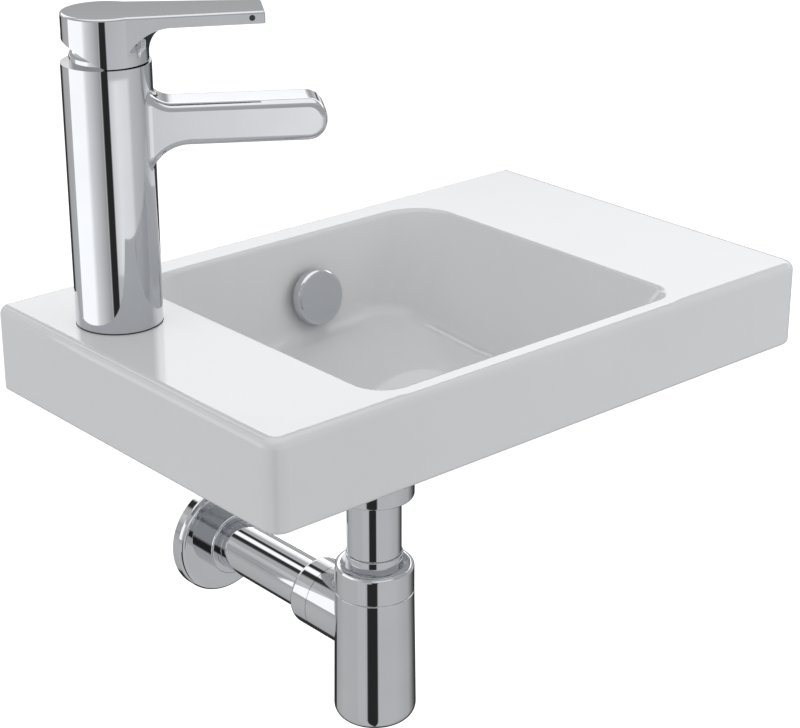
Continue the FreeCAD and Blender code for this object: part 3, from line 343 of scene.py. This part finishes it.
CAMERA_PLACE = Vector((-0.7641, -0.9888, 0.4489))
CAMERA_PITCH = 22.379
CAMERA_HEADING = -41.168
SENSOR_WIDTH = 36.0
LENS = 95.0
camera_data = bpy.data.cameras.new("camera")
camera_data.sensor_width = SENSOR_WIDTH
camera_data.lens = LENS
camera = bpy.data.objects.new("camera", camera_data)
camera.location = CAMERA_PLACE
camera.rotation_euler = (math.radians(90 - CAMERA_PITCH), 0, math.radians(CAMERA_HEADING))
bpy.context.scene.collection.objects.link(camera)
bpy.context.scene.camera = camera

FLOOR_BELOW_RIM = 0.85
RIM_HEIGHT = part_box("basin_body")[1].z
FLOOR_HALF = 9.0
floor_mesh = bpy.data.meshes.new("floor")
bm = bmesh.new()
bmesh.ops.create_grid(bm, x_segments=1, y_segments=1, size=FLOOR_HALF)
bmesh.ops.translate(bm, verts=bm.verts, vec=(0, 0, RIM_HEIGHT - FLOOR_BELOW_RIM))
bm.to_mesh(floor_mesh)
bm.free()
floor = bpy.data.objects.new("floor", floor_mesh)
bpy.context.scene.collection.objects.link(floor)
floor.visible_glossy = False

# White paper, matt, that keeps the basin's soft shadow and is lifted to white for the eye alone.
PAPER = "#F4F4F4"
FLOOR_LIFT = 0.75
white_paper, tree, shader, _ = new_material("white background paper", Base_Color=linear(PAPER),
                                            Roughness=1.0, Specular_IOR_Level=0.0,
                                            Emission_Color=(1.0, 1.0, 1.0, 1.0))
rays = add_node(tree, "ShaderNodeLightPath")
lift = add_node(tree, "ShaderNodeMath", {1: FLOOR_LIFT}, {0: rays.outputs["Is Camera Ray"]},
                operation="MULTIPLY")
tree.links.new(lift.outputs[0], shader.inputs["Emission Strength"])
floor.data.materials.append(white_paper)


def set_ramp(ramp_node, stops):
    """Fills a colour ramp with grey levels at their positions."""
    elements = ramp_node.color_ramp.elements
    elements.remove(elements[0])
    elements[0].position, elements[0].color = stops[0][0], [stops[0][1]] * 3 + [1.0]
    for position, level in stops[1:]:
        elements.new(position).color = [level] * 3 + [1.0]


# The surround as mirrors see it, by direction in degrees from the camera's own side towards its right.
# Below the horizon stand pale walls, dark behind the basin and in a slit behind the camera, which is
# wider near the floor.
# High up, the ceiling has two dark gaps with a bright strip between them.
CAMERA_SIDE = -90 + CAMERA_HEADING
WALLS = [(-180, 0.04), (-140, 0.04), (-133, 0.5), (-98, 0.62), (-14, 0.66), (-8, 0.6), (-6, 0.03),
         (9, 0.03), (11, 0.66), (62, 0.72), (90, 0.62), (120, 0.45), (140, 0.4), (155, 0.05)]
WALL_FEET = [(-180, 0.04), (-140, 0.04), (-133, 0.5), (-98, 0.62), (-27, 0.66), (-22, 0.6), (-19, 0.03),
             (8, 0.03), (11, 0.66), (62, 0.66), (110, 0.55), (128, 0.3), (140, 0.12), (155, 0.04)]
CEILING = [(-157, 0.6), (-155, 0.04), (-145, 0.04), (-141, 1.5), (-128, 1.5), (-124, 0.04), (-113, 0.04),
           (-109, 0.6)]
# Between them a backdrop glows behind the basin, by the sine of its elevation, with a dark line at the
# horizon. It fades to plain grey on the camera's side. Straight above, the light is bright and even.
# Each zone starts between two sines of elevation, over which it takes the place of the one below.
BACKDROP = [(-0.2, 0.8), (-0.1, 0.95), (-0.04, 0.9), (-0.01, 0.08), (0.03, 0.08), (0.07, 0.7), (0.2, 0.42),
            (0.23, 0.52), (0.255, 1.3), (0.275, 1.4), (0.29, 1.8), (0.315, 2.1), (0.345, 2.35),
            (0.37, 2.55), (0.43, 2.55), (0.455, 1.2), (0.53, 1.2)]
BEHIND = [(-180, 1.0), (-135, 1.0), (-115, 0.12), (-85, 0.12), (-60, 0.0), (100, 0.0), (130, 1.0)]
SIDE_LEVEL = (0.5, 0.5, 0.5, 1.0)
OVERHEAD_LEVEL = (1.3, 1.3, 1.3, 1.0)
WALLS_START = (-0.42, -0.39)
BACKDROP_START = (-0.22, -0.1)
CEILING_START = (0.53, 0.58)
OVERHEAD_START = (0.74, 0.8)
# On matt and pale surfaces the same surround is an even, slightly cool light.
EVEN_LIGHT = (0.485, 0.488, 0.495, 1.0)
world = bpy.data.worlds.new("studio surround")
bpy.context.scene.world = world
world.use_nodes = True
tree = world.node_tree
tree.nodes.clear()
direction = add_node(tree, "ShaderNodeTexCoord").outputs["Generated"]
turn = add_node(tree, "ShaderNodeTexGradient", links={"Vector": direction}, gradient_type="RADIAL")
ramps = []
for levels in (WALL_FEET, WALLS, CEILING, BEHIND):
    ramps.append(add_node(tree, "ShaderNodeValToRGB", links={"Fac": turn.outputs["Fac"]}))
    set_ramp(ramps[-1], sorted((((CAMERA_SIDE + degrees + 180) % 360) / 360, level)
                               for degrees, level in levels))
mirror, walls, ceiling, behind = ramps
height = add_node(tree, "ShaderNodeSeparateXYZ", links={"Vector": direction}).outputs["Z"]
half_height = add_node(tree, "ShaderNodeMapRange", {"From Min": -1.0, "From Max": 1.0}, {"Value": height})
backdrop = add_node(tree, "ShaderNodeValToRGB", links={"Fac": half_height.outputs["Result"]})
set_ramp(backdrop, [((sine + 1) / 2, level) for sine, level in BACKDROP])
middle = add_node(tree, "ShaderNodeMixRGB", {"Color1": SIDE_LEVEL},
                  {"Fac": behind.outputs["Color"], "Color2": backdrop.outputs["Color"]})
overhead = add_node(tree, "ShaderNodeRGB")
overhead.outputs["Color"].default_value = OVERHEAD_LEVEL
for zone, (low, high) in ((walls, WALLS_START), (middle, BACKDROP_START), (ceiling, CEILING_START),
                          (overhead, OVERHEAD_START)):
    rise = add_node(tree, "ShaderNodeMapRange", {"From Min": low, "From Max": high}, {"Value": height})
    mirror = add_node(tree, "ShaderNodeMixRGB",
                      links={"Fac": rise.outputs["Result"], "Color1": mirror.outputs["Color"],
                             "Color2": zone.outputs["Color"]})
rays = add_node(tree, "ShaderNodeLightPath")
room = add_node(tree, "ShaderNodeMixRGB", {"Color1": EVEN_LIGHT},
                {"Fac": rays.outputs["Is Glossy Ray"], "Color2": mirror.outputs["Color"]})
straight = add_node(tree, "ShaderNodeMath", links={0: rays.outputs["Is Camera Ray"],
                                                   1: rays.outputs["Is Transmission Ray"]},
                    operation="MAXIMUM")
view = add_node(tree, "ShaderNodeMixRGB", {"Color2": (1.0, 1.0, 1.0, 1.0)},
                {"Fac": straight.outputs[0], "Color1": room.outputs["Color"]})
back = add_node(tree, "ShaderNodeBackground", links={"Color": view.outputs["Color"]})
add_node(tree, "ShaderNodeOutputWorld", links={"Surface": back.outputs["Background"]})

# Two tall curved cards round the tap give its barrel the white bands on both sides of the dark slit.
CARD_STEPS = 24
CARD_DISTANCE = 0.5
gasket_low, gasket_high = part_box("tap_base_gasket")
tap_axis = Vector(((gasket_low.x + gasket_high.x) / 2, (gasket_low.y + gasket_high.y) / 2, 0))
for name, start, end, low, high, stops in (
        ("card_left", -99, -9, -0.19, 0.12, [(0.0, 1.45), (0.5, 1.45), (0.62, 0.95), (1.0, 0.45)]),
        ("card_right", 11, 64, -0.112, 0.043, [(0.0, 0.85), (0.3, 1.1), (0.85, 1.0), (1.0, 0.75)])):
    sweep = math.radians(end - start)
    first_turn = math.radians(CAMERA_SIDE + start)
    first = Vector((math.cos(first_turn), math.sin(first_turn), 0))
    bm = bmesh.new()
    edge = [bm.verts.new(tap_axis + CARD_DISTANCE * first + Vector((0, 0, level))) for level in (low, high)]
    bmesh.ops.spin(bm, geom=edge + [bm.edges.new(edge)], cent=tap_axis, axis=(0, 0, 1), angle=sweep,
                   steps=CARD_STEPS)
    along = bm.loops.layers.uv.new("along")
    for loop in [loop for face in bm.faces for loop in face.loops]:
        spot = loop.vert.co - tap_axis
        turned = math.atan2(first.x * spot.y - first.y * spot.x, first.x * spot.x + first.y * spot.y)
        loop[along].uv = (turned / sweep, 0)
    card_mesh = bpy.data.meshes.new(name)
    bm.to_mesh(card_mesh)
    bm.free()
    card = bpy.data.objects.new(name, card_mesh)
    bpy.context.scene.collection.objects.link(card)
    card.visible_camera = card.visible_diffuse = card.visible_shadow = card.visible_transmission = False
    card_paper, tree, shader, place = new_material(name + " paper", Base_Color=(0.0, 0.0, 0.0, 1.0),
                                                   Roughness=1.0, Specular_IOR_Level=0.0,
                                                   Emission_Strength=1.0)
    uv = place.node.outputs["UV"]
    across = add_node(tree, "ShaderNodeSeparateXYZ", links={"Vector": uv}).outputs["X"]
    shade = add_node(tree, "ShaderNodeValToRGB", links={"Fac": across})
    set_ramp(shade, stops)
    tree.links.new(shade.outputs["Color"], shader.inputs["Emission Color"])
    card_mesh.materials.append(card_paper)

# The softboxes stand outside the picture and light the china, and no mirror shows them.
SOFTBOX_SIZE = 1.2
for name, spot, power in (("softbox_left", Vector((-1.25, 0.05, 0.5)), 3.3),
                          ("softbox_right", Vector((0.75, -1.2, 0.5)), 4.6),
                          ("softbox_above", Vector((0.0, -0.2, 1.2)), 1.3)):
    softbox_data = bpy.data.lights.new(name, "AREA")
    softbox_data.size = SOFTBOX_SIZE
    softbox_data.energy = power
    softbox = bpy.data.objects.new(name, softbox_data)
    softbox.location = spot
    softbox.rotation_euler = (-spot).to_track_quat("-Z", "Y").to_euler()
    softbox.visible_glossy = False
    bpy.context.scene.collection.objects.link(softbox)

bpy.context.scene.view_settings.view_transform = "Standard"
